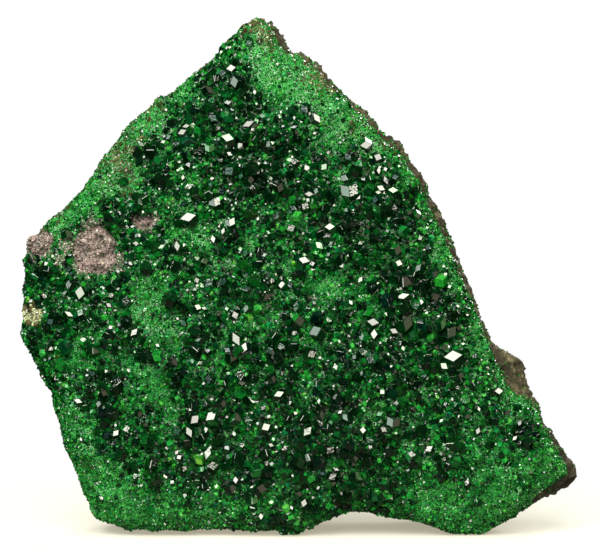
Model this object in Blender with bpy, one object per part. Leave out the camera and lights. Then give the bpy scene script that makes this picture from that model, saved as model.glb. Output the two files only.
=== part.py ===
"""A specimen of uvarovite garnet: a slab of dark chromite rock that stands on its broken lower
edge, with a crust of green garnet crystals grown over its front face, and three patches of
pinkish chlorite that show through the crust near its left corner.

Frame: +Z up, the crystal face looks along -Y. The origin is under the middle of the specimen,
on the surface that it stands on. Sizes below are in millimetres, and MM turns them to metres.
"""

import math
import random

import bmesh
import bpy
from mathutils import Euler, Matrix, Vector, noise
from mathutils.bvhtree import BVHTree

MM = 0.001

# The slab of rock. Shares of the depth run from 0 at its front to 1 at its back.
ROCK_DEPTH_AT_FOOT = 16.5
ROCK_DEPTH_AT_TOP = 8.0
DEPTH_CUTS = (0.2, 0.6)
FRONT_BOW = 1.0
EDGE_FALL = 1.8
EDGE_FALL_REACH = 3.6
FLARE_REACH = 6.0
BACK_TAPER = 0.075
TAPER_START = 0.3
LOWEST_OVERHANG = 0.3
FOOT_RIM = 0.45

# Lumps and chips, as height and grain
RIM_CHIPS = (0.3, 2.6)
BACK_LUMPS = ((0.7, 9.0), (0.4, 4.0))
LEDGE_WANDER = (1.5, 8.0)
CRUST_LUMPS = (0.35, 5.0)
CHLORITE_LUMPS = (0.22, 0.7)
CHIP_LAYERS = 12.0

# The crust, and the cells that its face is cut into
GAP = 0.3
CRUST_THICKNESS = 1.9
CRUST_EDGE_THICKNESS = 0.9
CRUST_EDGE_WIDTH = 1.6
CELL = 3.5
CELL_START = (0.37, 0.53)
CELL_SLANT = 0.12
CELL_JITTER = 0.8
STILL_EDGE = 1.2
TIP_HEIGHT = (0.25, 1.05)
TIP_SPREAD = (0.6, 1.2)
TIP_RISE = (0.4, 2.0)
SNAP = 0.02
SLIVER = 0.01

# The large crystals, sized by the edge of the cube inside each
CRYSTAL_COUNT = 112
CRYSTAL_SPACING = 2.6
CRYSTAL_CUBE = (0.9, 1.35)
CRYSTAL_PROUD = 0.2
CRYSTAL_EDGE_MARGIN = 1.6
CRYSTAL_HEIGHTS = (1.0, 66.0)
CHLORITE_MARGIN = 1.9
STRAY_CHANCE = 0.06

# The middle of the slab and its reach, and where each run of random numbers starts
MIDDLE_X = 0.0
MIDDLE_Z = 28.0
HALF_SPAN = 36.0
FACE_SEED = 17
PLACE_SEED = 29
TURN_SEED = 31

# The silhouette, clockwise from the peak: across, up, and the bare rim of rock that the crust
# leaves there. The two level stretches at no height are the feet.
OUTLINE = (
    (-5.4, 67.4, 0.3),
    (-3.6, 66.8, 1.0),
    (-2.4, 64.6, 1.1),
    (-1.4, 62.7, 0.8),
    (-0.2, 63.0, 0.9),
    (2.5, 61.1, 1.1),
    (3.6, 59.5, 0.8),
    (6.8, 56.2, 0.7),
    (8.7, 55.2, 1.2),
    (10.9, 52.0, 0.9),
    (12.3, 51.4, 1.2),
    (15.9, 46.5, 1.2),
    (16.5, 44.4, 1.0),
    (17.9, 42.2, 1.4),
    (19.6, 37.6, 1.0),
    (22.1, 31.3, 0.7),
    (23.9, 26.3, 0.7),
    (24.9, 24.8, 1.0),
    (27.6, 23.7, 3.2),
    (29.5, 20.6, 3.4),
    (30.0, 18.6, 2.0),
    (30.9, 16.4, 0.6),
    (31.5, 14.2, 0.5),
    (32.4, 13.3, 0.9),
    (34.8, 9.6, 1.2),
    (36.2, 7.4, 1.9),
    (35.2, 6.2, 1.1),
    (33.0, 4.9, 0.9),
    (29.8, 3.4, 0.5),
    (27.6, 2.0, 0.4),
    (25.4, 0.9, 0.3),
    (23.6, 0.0, FOOT_RIM),
    (19.6, 0.0, FOOT_RIM),
    (17.0, 0.6, 0.5),
    (13.7, 1.7, 0.5),
    (9.9, 2.5, 0.4),
    (6.5, 3.1, 0.3),
    (3.3, 1.8, 0.3),
    (-0.4, 0.0, FOOT_RIM),
    (-12.0, 0.0, FOOT_RIM),
    (-23.0, 0.0, FOOT_RIM),
    (-25.6, 1.2, 0.3),
    (-27.0, 2.9, 0.1),
    (-28.6, 6.4, 0.1),
    (-29.8, 9.2, 0.1),
    (-31.8, 15.4, 0.1),
    (-32.4, 18.6, 0.1),
    (-33.8, 20.8, 0.1),
    (-34.8, 23.6, 0.1),
    (-36.3, 25.4, 0.1),
    (-36.0, 30.5, 0.1),
    (-35.7, 35.2, 0.1),
    (-36.1, 35.8, 0.1),
    (-35.3, 37.8, 0.1),
    (-34.3, 39.4, 0.2),
    (-30.3, 43.0, 0.1),
    (-28.5, 44.7, 0.1),
    (-25.3, 49.5, 0.1),
    (-24.0, 50.6, 0.1),
    (-22.9, 52.7, 0.1),
    (-21.4, 54.2, 0.1),
    (-18.4, 56.5, 0.1),
    (-16.6, 57.7, 0.3),
    (-14.6, 59.7, 0.6),
    (-12.6, 61.0, 0.5),
    (-10.9, 62.5, 0.2),
    (-8.2, 65.7, 0.1),
    (-7.0, 66.5, 0.2),
)

# Broad swells of the crust's face: across, up, reach, and how far each stands proud
SWELLS = (
    (-21.0, 25.0, 6.5, 0.9),
    (-24.0, 8.0, 8.0, 1.0),
    (-12.0, 54.0, 7.0, 0.7),
    (4.0, 55.0, 6.0, 0.9),
    (-9.0, 47.0, 7.0, -0.5),
    (5.0, 40.0, 8.0, 0.7),
    (16.0, 34.0, 6.0, -0.4),
    (-6.0, 28.0, 8.0, 0.6),
    (8.0, 17.0, 8.0, 0.9),
    (24.0, 10.0, 7.0, 0.8),
    (-9.0, 11.0, 6.0, -0.4),
    (-32.0, 30.0, 4.0, 0.5),
)

# Dark pockets where the large crystals grew: across, up and reach
CRYSTAL_POCKETS = (
    (-8.0, 51.0, 9.0),
    (-15.0, 38.0, 9.0),
    (9.0, 44.0, 8.0),
    (14.0, 30.0, 9.0),
    (-3.0, 30.0, 11.0),
    (-27.0, 24.0, 7.0),
    (-15.0, 17.0, 9.0),
    (4.0, 13.0, 12.0),
    (21.0, 16.0, 8.0),
    (-32.0, 30.0, 4.0),
)

# Patches of pink chlorite: name, across, up, half width and half height
CHLORITE_PATCHES = (
    ("pink_chlorite_large", -26.4, 37.2, 3.0, 3.4),
    ("pink_chlorite_small", -20.2, 40.9, 1.3, 1.1),
    ("pink_chlorite_corner", -33.5, 38.0, 1.7, 1.5),
)
CHLORITE_HALF_DEPTH = 1.3
CHLORITE_SUNK = 0.7

# The broken back is cut by these planes: depth at the origin, and slope across and up
BACK_PLANES = (
    (ROCK_DEPTH_AT_FOOT, 0.02, -0.05),
    (ROCK_DEPTH_AT_FOOT + 5.5, 0.34, -0.08),
    (ROCK_DEPTH_AT_FOOT + 4.6, -0.30, -0.05),
    (ROCK_DEPTH_AT_TOP + 20.0, 0.05, -0.31),
    (ROCK_DEPTH_AT_FOOT + 1.0, -0.16, -0.16),
    (ROCK_DEPTH_AT_FOOT - 1.5, 0.10, 0.16),
)
# Ledges of the broken back: where each starts, its direction across and up, and its drop
BACK_LEDGES = (
    (16.0, 0.9, 0.35, 1.5),
    (24.0, -0.7, 0.6, 1.3),
    (46.0, 0.2, 1.0, 1.2),
)

COLOURS = {
    "chromite_matrix": (0.060, 0.048, 0.036, 0.62, 0.15),
    "uvarovite_crust": (0.004, 0.115, 0.022, 0.12, 0.0),
    "pink_chlorite": (0.400, 0.270, 0.250, 0.75, 0.0),
}


def clear_scene():
    for thing in list(bpy.data.objects):
        bpy.data.objects.remove(thing)


def smooth_step(value, low, high):
    share = min(1.0, max(0.0, (value - low) / (high - low)))
    return share * share * (3.0 - 2.0 * share)


def lumps_at(x, y, z, lumps):
    """Soft noise with lumps of the given height and grain."""
    height, grain = lumps
    return height * noise.noise(Vector((x, y, z)) / grain)


def outward_normals(points):
    """The outward direction at each point of a clockwise ring."""
    normals = []
    for here in range(len(points)):
        before = Vector(points[here - 1][:2])
        after = Vector(points[(here + 1) % len(points)][:2])
        along = (after - before).normalized()
        normals.append(Vector((-along.y, along.x)))
    return normals


def crust_ring():
    """The crust's own outline: the silhouette less the bare rim."""
    return [
        (x - normal.x * rim, z - normal.y * rim, rim)
        for (x, z, rim), normal in zip(OUTLINE, outward_normals(OUTLINE))
    ]


def nearest_edge(x, z, ring, normals):
    """Distance to a ring, with the outward direction and the rim width at the nearest place."""
    here = Vector((x, z))
    best = None
    for index in range(len(ring)):
        following = (index + 1) % len(ring)
        start = Vector(ring[index][:2])
        run = Vector(ring[following][:2]) - start
        share = min(1.0, max(0.0, (here - start).dot(run) / run.length_squared))
        distance = (start + run * share - here).length
        if best is None or distance < best[0]:
            normal = normals[index].lerp(normals[following], share).normalized()
            rim = ring[index][2] + (ring[following][2] - ring[index][2]) * share
            best = (distance, normal, rim)
    return best


def inside(x, z, ring):
    crossings = False
    for index in range(len(ring)):
        x0, z0 = ring[index - 1][:2]
        x1, z1 = ring[index][:2]
        if (z0 > z) != (z1 > z) and x < x0 + (x1 - x0) * (z - z0) / (z1 - z0):
            crossings = not crossings
    return crossings


def on_foot(z):
    """Whether a place on the crust's ring is on one of the two level feet."""
    return z < FOOT_RIM + SLIVER


def rock_front(x, z, ring, normals):
    """The face that the crust grew on: a gentle bow that falls away at the edge."""
    across = (x - MIDDLE_X) / HALF_SPAN
    up = (z - MIDDLE_Z) / HALF_SPAN
    distance = nearest_edge(x, z, ring, normals)[0]
    bow = FRONT_BOW * (1.0 - across * across - up * up)
    return EDGE_FALL * math.exp(-distance / EDGE_FALL_REACH) - bow


def rock_back(x, z):
    """The broken back: the nearest of a few fracture planes, stepped by ledges."""
    depth = min(at_origin + across * x + up * z for at_origin, across, up in BACK_PLANES)
    for start, across, up, drop in BACK_LEDGES:
        if across * x + up * z + lumps_at(x, start, z, LEDGE_WANDER) > start:
            depth -= drop
    return depth + sum(lumps_at(x, depth, z, lumps) for lumps in BACK_LUMPS)


def crust_height(x, z):
    """How far the crust's face stands off the rock, away from its edge."""
    height = CRUST_THICKNESS + lumps_at(x, 0.0, z, CRUST_LUMPS)
    for swell_x, swell_z, reach, rise in SWELLS:
        away = math.hypot(x - swell_x, z - swell_z) / reach
        height += rise * math.exp(-away * away)
    return height


def crust_front(x, z, ring, normals):
    """The crust's face, rounded off towards its edge."""
    edge_distance = nearest_edge(x, z, ring, normals)[0]
    share = smooth_step(edge_distance, 0.0, CRUST_EDGE_WIDTH)
    thickness = CRUST_EDGE_THICKNESS + (crust_height(x, z) - CRUST_EDGE_THICKNESS) * share
    return rock_front(x, z, ring, normals) - GAP - thickness


def pocket_share(x, z):
    """How far a place is in a dark pocket of large crystals, from 0 to 1."""
    return max(
        math.exp(-((math.hypot(x - px, z - pz) / reach) ** 2)) for px, pz, reach in CRYSTAL_POCKETS
    )


def gridded_prism(ring, depth_cuts):
    """The ring as a block one unit deep along +Y, cut into cells, so that its faces can be shaped."""
    block = bmesh.new()
    front = block.faces.new([block.verts.new((x, 0.0, z)) for x, z, _ in ring])
    pushed = bmesh.ops.extrude_face_region(block, geom=[front], use_keep_orig=True)
    moved = [item for item in pushed["geom"] if isinstance(item, bmesh.types.BMVert)]
    bmesh.ops.translate(block, verts=moved, vec=(0.0, 1.0, 0.0))

    def cut(place, normal):
        everything = block.verts[:] + block.edges[:] + block.faces[:]
        bmesh.ops.bisect_plane(block, geom=everything, dist=SNAP, plane_co=place, plane_no=normal)

    reach = int(HALF_SPAN * 2 / CELL)
    start_x, start_z = CELL_START
    for step in range(-reach, reach + 1):
        cut((step * CELL + start_x, 0.0, 0.0), (1.0, 0.0, CELL_SLANT))
        cut((0.0, 0.0, step * CELL + start_z), (CELL_SLANT, 0.0, 1.0))
    for share in depth_cuts:
        cut((0.0, share, 0.0), (0.0, 1.0, 0.0))
    bmesh.ops.recalc_face_normals(block, faces=block.faces[:])
    return block


def to_object(name, shaped, finish):
    """Closes a bmesh off as an object of this name, in metres."""
    bmesh.ops.triangulate(shaped, faces=shaped.faces[:])
    if shaped.calc_volume(signed=True) < 0.0:
        bmesh.ops.reverse_faces(shaped, faces=shaped.faces[:])
    bmesh.ops.scale(shaped, vec=(MM, MM, MM), verts=shaped.verts[:])
    mesh = bpy.data.meshes.new(name)
    shaped.to_mesh(mesh)
    shaped.free()
    thing = bpy.data.objects.new(name, mesh)
    bpy.context.scene.collection.objects.link(thing)
    thing.data.materials.append(finish)
    return thing


def make_finish(name):
    red, green, blue, roughness, metallic = COLOURS[name]
    finish = bpy.data.materials.new(name)
    finish.use_nodes = True
    shader = finish.node_tree.nodes["Principled BSDF"]
    shader.inputs["Base Color"].default_value = (red, green, blue, 1.0)
    shader.inputs["Roughness"].default_value = roughness
    shader.inputs["Metallic"].default_value = metallic
    finish.diffuse_color = (red, green, blue, 1.0)
    return finish


def make_rock(ring):
    """The slab: its front stops at the crust's edge, its sides flare out to the silhouette and
    draw in again towards the broken back."""
    normals = outward_normals(ring)
    block = gridded_prism(ring, DEPTH_CUTS)
    for corner in block.verts:
        x, depth_share, z = corner.co
        distance, normal, rim = nearest_edge(x, z, ring, normals)
        past_front = smooth_step(depth_share, 0.0, DEPTH_CUTS[0])
        chips = lumps_at(x, CHIP_LAYERS * depth_share, z, RIM_CHIPS)
        shift = normal * (rim + chips) * past_front * math.exp(-distance / FLARE_REACH)
        kept = 1.0 - BACK_TAPER * smooth_step(depth_share, TAPER_START, 1.0)
        front, back = rock_front(x, z, ring, normals), rock_back(x, z)
        corner.co.x = MIDDLE_X + (x + shift.x - MIDDLE_X) * kept
        corner.co.y = front + (back - front) * depth_share
        if on_foot(z):
            corner.co.z = 0.0
        else:
            corner.co.z = max(LOWEST_OVERHANG, MIDDLE_Z + (z + shift.y - MIDDLE_Z) * kept)
    return to_object("chromite_matrix", block, make_finish("chromite_matrix"))


def make_crust_sheet(ring):
    """The crust without its large crystals: a sheet whose face rises to a blunt tip in each cell."""
    draw = random.Random(FACE_SEED)
    normals = outward_normals(ring)
    block = gridded_prism(ring, ())
    face_cells = [face for face in block.faces if all(corner.co.y < 0.5 for corner in face.verts)]
    tips = set(bmesh.ops.poke(block, faces=face_cells)["verts"])
    for corner in block.verts:
        x, depth_share, z = corner.co
        if on_foot(z):
            corner.co.z = 0.0
        if depth_share > 0.5:
            corner.co.y = rock_front(x, z, ring, normals) - GAP
            continue
        distance = nearest_edge(x, z, ring, normals)[0]
        if distance > STILL_EDGE:
            x += draw.uniform(-CELL_JITTER, CELL_JITTER)
            z += draw.uniform(-CELL_JITTER, CELL_JITTER)
        low, high = TIP_HEIGHT
        tip = (low + (high - low) * pocket_share(x, z)) * draw.uniform(*TIP_SPREAD)
        rise = tip * smooth_step(distance, *TIP_RISE) if corner in tips else 0.0
        corner.co = (x, crust_front(x, z, ring, normals) - rise, 0.0 if on_foot(z) else z)
    return to_object("uvarovite_crust", block, make_finish("uvarovite_crust"))


def garnet(cube_edge):
    """A rhombic dodecahedron: a cube with a pyramid half as high as its edge on each face."""
    crystal = bmesh.new()
    bmesh.ops.create_cube(crystal, size=cube_edge)
    bmesh.ops.poke(crystal, faces=crystal.faces[:], offset=cube_edge / 2)
    bmesh.ops.dissolve_limit(
        crystal, angle_limit=math.radians(1.0), verts=crystal.verts[:], edges=crystal.edges[:]
    )
    return crystal


def crystal_places(ring):
    """Where the large crystals stand, thickest in the dark pockets and clear of the chlorite."""
    draw = random.Random(PLACE_SEED)
    normals = outward_normals(ring)
    places = []
    while len(places) < CRYSTAL_COUNT:
        x = draw.uniform(-HALF_SPAN, HALF_SPAN)
        z = draw.uniform(*CRYSTAL_HEIGHTS)
        chance = draw.random()
        if chance > STRAY_CHANCE + pocket_share(x, z) or not inside(x, z, ring):
            continue
        if nearest_edge(x, z, ring, normals)[0] < CRYSTAL_EDGE_MARGIN:
            continue
        if any(math.hypot(x - place[0], z - place[1]) < CRYSTAL_SPACING for place in places):
            continue
        if any(
            math.hypot((x - px) / (half_w + CHLORITE_MARGIN), (z - pz) / (half_h + CHLORITE_MARGIN)) < 1.0
            for _, px, pz, half_w, half_h in CHLORITE_PATCHES
        ):
            continue
        places.append((x, z))
    return places


def make_crystals(ring, sheet):
    """All the large crystals as one object, each half sunk in the sheet and turned its own way."""
    draw = random.Random(TURN_SEED)
    corners = [corner.co / MM for corner in sheet.data.vertices]
    face = BVHTree.FromPolygons(corners, [list(part.vertices) for part in sheet.data.polygons])
    druse = bmesh.new()
    for x, z in crystal_places(ring):
        edge = draw.uniform(*CRYSTAL_CUBE)
        turn = Euler([draw.uniform(0.0, math.tau) for _ in range(3)]).to_matrix().to_4x4()
        met = face.ray_cast(Vector((x, -HALF_SPAN, z)), Vector((0.0, 1.0, 0.0)))[0]
        place = met - Vector((0.0, CRYSTAL_PROUD * edge, 0.0))
        crystal = garnet(edge)
        bmesh.ops.transform(crystal, matrix=Matrix.Translation(place) @ turn, verts=crystal.verts[:])
        copy = bpy.data.meshes.new("crystal")
        crystal.to_mesh(copy)
        crystal.free()
        druse.from_mesh(copy)
        bpy.data.meshes.remove(copy)
    return to_object("large_crystals", druse, make_finish("uvarovite_crust"))


def make_chlorite(name, patch, ring, grown):
    """A rough low lump of chlorite that sits on the rock. grown makes it larger all round and
    deeper, as the cutter for its opening in the crust."""
    _, x, z, half_width, half_height = patch
    normals = outward_normals(ring)
    middle = crust_front(x, z, ring, normals) + CHLORITE_SUNK
    lump = bmesh.new()
    bmesh.ops.create_icosphere(lump, subdivisions=2, radius=1.0)
    for corner in lump.verts:
        across, depth, up = corner.co
        push = 1.0 + lumps_at(across + x, depth, up + z, CHLORITE_LUMPS)
        place_x = x + across * (push * half_width + grown)
        place_z = z + up * (push * half_height + grown)
        place_y = middle + depth * (CHLORITE_HALF_DEPTH + grown)
        if grown == 0.0:
            place_y = min(place_y, rock_front(place_x, place_z, ring, normals) - GAP)
        elif depth > 0.0:
            place_y += depth * CHLORITE_HALF_DEPTH * 2.0
        corner.co = (place_x, place_y, place_z)
    return to_object(name, lump, make_finish("pink_chlorite"))


def as_cutter(thing):
    thing.hide_render = True
    thing.display_type = "WIRE"


def combine(target, other, operation):
    step = target.modifiers.new(f"{operation.lower()} {other.name}", "BOOLEAN")
    step.operation = operation
    step.solver = "EXACT"
    step.use_self = operation == "UNION"
    step.object = other
    as_cutter(other)


def close_slivers(thing):
    """Joins corners that the cuts left closer together than a hundredth of a millimetre."""
    step = thing.modifiers.new("weld slivers", "WELD")
    step.merge_threshold = SLIVER * MM


def stand_on_origin(things):
    """Slides everything so that the middle of the whole specimen is over the origin."""
    seen = bpy.context.evaluated_depsgraph_get()
    corners = [
        corner.co.copy() for thing in things for corner in thing.evaluated_get(seen).data.vertices
    ]
    middle_x = (min(c.x for c in corners) + max(c.x for c in corners)) / 2
    middle_y = (min(c.y for c in corners) + max(c.y for c in corners)) / 2
    for thing in bpy.data.objects:
        thing.data.transform(Matrix.Translation((-middle_x, -middle_y, 0.0)))


def main():
    clear_scene()
    ring = crust_ring()
    rock = make_rock(ring)
    crust = make_crust_sheet(ring)
    crystals = make_crystals(ring, crust)
    combine(crust, crystals, "UNION")
    patches = []
    for patch in CHLORITE_PATCHES:
        patches.append(make_chlorite(patch[0], patch, ring, 0.0))
        opening = make_chlorite(f"opening for {patch[0]}", patch, ring, GAP)
        combine(crust, opening, "DIFFERENCE")
    close_slivers(crust)
    stand_on_origin([rock, crust, *patches])


main()
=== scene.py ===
# %% [markdown]
# # Uvarovite garnet on chromite
#
# The specimen is a slab of dark chromite rock with a crust of green garnets grown over its front.
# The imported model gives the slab, the crust and three patches of pink chlorite as plain solids.
# This lesson grows the fine surface around them: a rough rock, tens of thousands of crystals and
# scaly chlorite, each with its own finish, and then a pale studio to look at them in.

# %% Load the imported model
import math

import bpy
import numpy as np
from mathutils import Matrix, Vector, noise
from mathutils.kdtree import KDTree


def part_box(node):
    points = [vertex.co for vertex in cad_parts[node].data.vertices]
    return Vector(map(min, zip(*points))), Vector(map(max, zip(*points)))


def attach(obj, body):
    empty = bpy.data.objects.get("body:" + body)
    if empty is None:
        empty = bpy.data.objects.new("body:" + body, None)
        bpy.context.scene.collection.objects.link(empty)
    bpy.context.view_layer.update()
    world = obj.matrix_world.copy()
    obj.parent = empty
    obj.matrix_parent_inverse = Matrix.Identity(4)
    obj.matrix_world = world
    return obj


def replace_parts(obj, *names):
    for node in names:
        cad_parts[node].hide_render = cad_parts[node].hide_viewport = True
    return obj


MM = 0.001
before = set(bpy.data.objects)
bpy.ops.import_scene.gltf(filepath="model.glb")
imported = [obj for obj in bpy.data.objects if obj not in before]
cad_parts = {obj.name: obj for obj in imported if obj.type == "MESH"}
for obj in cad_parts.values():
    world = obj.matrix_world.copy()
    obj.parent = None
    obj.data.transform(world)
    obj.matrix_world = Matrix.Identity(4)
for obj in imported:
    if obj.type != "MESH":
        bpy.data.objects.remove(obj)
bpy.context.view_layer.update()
print("packed pieces:", sorted(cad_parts))

# %% [markdown]
# ## Tools that every piece uses
#
# Operators act on whatever is selected, so each one is called on a single selected object. Corners
# are read as one array and looked up in a tree, because comparing them one by one is slow. A
# piece prints its triangles, because a shape made of thousands of crystals soon grows past what a
# computer can turn round.

# %% Select, modify, look up and report
def select_only(piece):
    """Makes piece the one selected object, and the active one."""
    bpy.ops.object.select_all(action="DESELECT")
    piece.select_set(True)
    bpy.context.view_layer.objects.active = piece


def apply_step(piece, kind, **settings):
    """Adds one modifier to piece, with these settings, and applies it."""
    select_only(piece)
    step = piece.modifiers.new(kind.title(), kind)
    for name, value in settings.items():
        setattr(step, name, value)
    bpy.ops.object.modifier_apply(modifier=step.name)


def corners_of(piece):
    """Where the corners of piece are, one row for each."""
    corners = np.empty(len(piece.data.vertices) * 3)
    piece.data.vertices.foreach_get("co", corners)
    return corners.reshape(-1, 3)


def finder_of(places):
    """Finds which of these places are near another one. They are numbered in their order."""
    finder = KDTree(len(places))
    for number, place in enumerate(places):
        finder.insert(place, number)
    finder.balance()
    return finder


def report(piece):
    """Prints a piece's triangles and its size in millimetres."""
    piece.data.calc_loop_triangles()
    size = [round(side / MM, 1) for side in piece.dimensions]
    print(f"{piece.name}: {len(piece.data.loop_triangles)} triangles, {size} mm")


# %% [markdown]
# ## The camera
#
# The photograph looks almost straight at the crystals, from slightly above. The specimen shows
# hardly any perspective, so the camera stands well back with a long lens. The distance follows
# from the width that one pixel covers. Camera and lamps come first in this lesson, because the
# largest crystals will be turned so that they mirror a lamp to the camera.

# %% Camera
PIXEL = 0.129 * MM
FRAME_WIDTH, FRAME_HEIGHT = 600, 552
PHOTO_MIDDLE = (-0.25 * MM, 33.9 * MM)
CAMERA_ELEVATION = math.radians(6.0)
LENS = 230.0
SENSOR = 36.0

camera = bpy.data.objects.new("camera", bpy.data.cameras.new("camera"))
camera.data.lens = LENS
camera.data.sensor_width = SENSOR
distance = FRAME_WIDTH * PIXEL * LENS / SENSOR
look_at = Vector((PHOTO_MIDDLE[0], -5.0 * MM, PHOTO_MIDDLE[1]))
back = Vector((0.0, -math.cos(CAMERA_ELEVATION), math.sin(CAMERA_ELEVATION)))
camera.location = look_at + back * distance
camera.rotation_euler = (-back).to_track_quat("-Z", "Y").to_euler()
bpy.context.scene.collection.objects.link(camera)
bpy.context.scene.camera = camera
print("camera", round(distance / MM), "mm from the crystals")

# %% [markdown]
# ## Light
#
# A druse glitters only if the lamps are small and bright against dark surroundings: a few facets in
# a hundred then mirror a lamp and turn white, and the rest stay deep green. Weaker cards give some
# facets a grey, teal or brown sheen. The body colour needs more light than that, so a wide soft
# lamp lights the stone without showing in its facets.

# %% Lamps, as (place, side, brightness, colour)
LAMPS = {
    "window": ((-0.25, -0.42, 0.40), 0.19, 11.5, (1.0, 0.98, 0.86)),
    "right lamp": ((0.30, -0.36, 0.30), 0.13, 11.0, (1.0, 0.99, 0.82)),
    "front lamp": ((0.10, -0.60, 0.14), 0.12, 8.0, (1.0, 0.96, 0.84)),
    "top lamp": ((0.02, -0.14, 0.55), 0.16, 8.0, (0.96, 1.0, 0.94)),
    "low lamp": ((0.24, -0.55, 0.03), 0.11, 6.5, (1.0, 0.98, 0.80)),
    "pale card": ((-0.30, -0.60, -0.02), 0.10, 6.0, (0.97, 1.0, 0.78)),
    "grey card": ((-0.45, -0.15, 0.15), 0.18, 4.0, (0.82, 1.0, 0.86)),
    "teal card": ((-0.12, -0.30, -0.10), 0.30, 1.2, (0.60, 1.0, 0.95)),
    "brown card": ((0.45, -0.25, 0.10), 0.30, 0.7, (1.0, 0.85, 0.62)),
    "back lamp": ((0.20, 0.40, 0.35), 0.20, 12.0, (1.0, 1.0, 1.0)),
}
SOFT_LIGHT = ((-0.12, -0.52, 0.50), 0.60, 6.8, (1.0, 1.0, 0.94))


def add_softbox(name, place, side, brightness, colour, mirrored=True):
    """A square lamp that looks at the crystals. brightness is its radiance."""
    lamp = bpy.data.lights.new(name, "AREA")
    lamp.size = side
    lamp.energy = brightness * math.pi * side * side
    lamp.color = colour
    softbox = bpy.data.objects.new(name, lamp)
    softbox.location = place
    softbox.rotation_euler = (look_at - Vector(place)).to_track_quat("-Z", "Y").to_euler()
    softbox.visible_camera = False
    softbox.visible_glossy = mirrored
    bpy.context.scene.collection.objects.link(softbox)


for name, lamp in LAMPS.items():
    add_softbox(name, *lamp)
add_softbox("soft light", *SOFT_LIGHT, mirrored=False)
print("lamps:", len(LAMPS) + 1)

# %% [markdown]
# ## The rock
#
# Chromite breaks with a rough, granular face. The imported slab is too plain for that, so a copy of
# it is merged, remeshed into small even faces and pushed in and out by three sizes of noise: chips,
# pits and grains. Its back gets wide, shallow steps as well, as where it broke off the wall it grew
# on. Remeshing first matters, because noise can only move corners that are there. The rock could
# also be sculpted by hand, but a script can repeat noise and not a sculpture.

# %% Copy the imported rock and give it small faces
MERGE_DISTANCE = 0.001 * MM
ROCK_VOXEL = 0.42 * MM


def merged_copy(node, name):
    """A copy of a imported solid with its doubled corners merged."""
    piece = bpy.data.objects.new(name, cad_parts[node].data.copy())
    piece.data.materials.clear()
    bpy.context.scene.collection.objects.link(piece)
    select_only(piece)
    bpy.ops.object.mode_set(mode="EDIT")
    bpy.ops.mesh.select_all(action="SELECT")
    bpy.ops.mesh.remove_doubles(threshold=MERGE_DISTANCE)
    bpy.ops.object.mode_set(mode="OBJECT")
    return piece


rock = merged_copy("chromite_matrix", "chromite_rock")
apply_step(rock, "REMESH", mode="VOXEL", voxel_size=ROCK_VOXEL)
report(rock)

# %% [markdown]
# Two places need a push. Under the crust the left foot stands back, so that the floor shows the
# shadow there, and the lower left corner is drawn out as far as in the photograph. A vertex group
# says how strongly each corner of the mesh takes part, so that a push fades out without a step.

# %% Push its left foot back and its corner out
LEFT_FOOT_END = -3.0 * MM
LEFT_CORNER = (-25.0 * MM, 1.5 * MM, 2.6 * MM)
CORNER_PUSH = 0.9 * MM
UNDERCUT = 4.2 * MM
UNDERCUT_HEIGHT = 2.2 * MM
UNDERCUT_END = 9.0 * MM
UNDERCUT_FADE = 13.0 * MM


def clamped(share):
    """share, held between 0 and 1."""
    return min(max(share, 0.0), 1.0)


def group_by(piece, name, share_at):
    """A vertex group that holds each corner as strongly as share_at says, from 0 to 1."""
    group = piece.vertex_groups.new(name=name)
    for corner in piece.data.vertices:
        group.add([corner.index], clamped(share_at(corner)), "REPLACE")
    return group.name


def around(piece, across, up, spread):
    """A vertex group that fades out around a place of the outline."""
    def share_at(corner):
        away = math.hypot(corner.co.x - across, corner.co.z - up)
        return math.exp(-((away / spread) ** 2))

    return group_by(piece, "around", share_at)


def under_the_crust(corner):
    """How far a corner stands back: the lowest ones on the left, most of all in front."""
    share = clamped(1 - corner.co.z / UNDERCUT_HEIGHT)
    share *= clamped((UNDERCUT_END - corner.co.y) / UNDERCUT_FADE)
    return share if corner.co.x < LEFT_FOOT_END else 0.0


def push(piece, along, distance, where):
    """Moves the corners of a vertex group along one axis."""
    apply_step(
        piece, "DISPLACE", direction=along, strength=distance, mid_level=0.0, vertex_group=where
    )


push(rock, "Y", UNDERCUT, group_by(rock, "undercut", under_the_crust))
push(rock, "X", -CORNER_PUSH, around(rock, *LEFT_CORNER))
report(rock)

# %% Roughen it, with noise as (grain, height, level)
STEPS = (9.0 * MM, 2.0 * MM, 0.4)
CHIPS = (3.4 * MM, 0.45 * MM, 0.6)
PITS = (1.3 * MM, 0.5 * MM, 0.5)
GRAINS = (0.6 * MM, 0.5 * MM, 0.5)
SHARP_EDGE = math.radians(28)
FACING_STEEPNESS = 2.0
FACING_FROM = 0.4


def roughen(piece, basis, grain, height, level=0.5, where="", along="NORMAL"):
    """Pushes the surface about by noise with this grain. level is the noise that moves nothing,
    where is the vertex group that moves, or none for all of it, and along is the way it moves."""
    lumps = bpy.data.textures.new(f"{piece.name} {basis.lower()}", "CLOUDS")
    lumps.noise_basis = basis
    lumps.noise_scale = grain
    lumps.noise_depth = 1
    apply_step(
        piece, "DISPLACE", texture=lumps, texture_coords="LOCAL", strength=height,
        mid_level=level, vertex_group=where, direction=along,
    )


def facing(piece, side):
    """A vertex group of the corners that face the back (side 1) or the front (side -1). It leaves
    out those that face sideways, so that the outline stays in place."""
    return group_by(
        piece, "facing", lambda corner: FACING_STEEPNESS * side * corner.normal.y - FACING_FROM
    )


roughen(rock, "VORONOI_F2_F1", *STEPS, facing(rock, 1))
roughen(rock, "VORONOI_CRACKLE", *CHIPS)
roughen(rock, "VORONOI_F2_F1", *PITS)
roughen(rock, "BLENDER_ORIGINAL", *GRAINS)
select_only(rock)
bpy.ops.object.shade_smooth_by_angle(angle=SHARP_EDGE)
report(rock)

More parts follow.
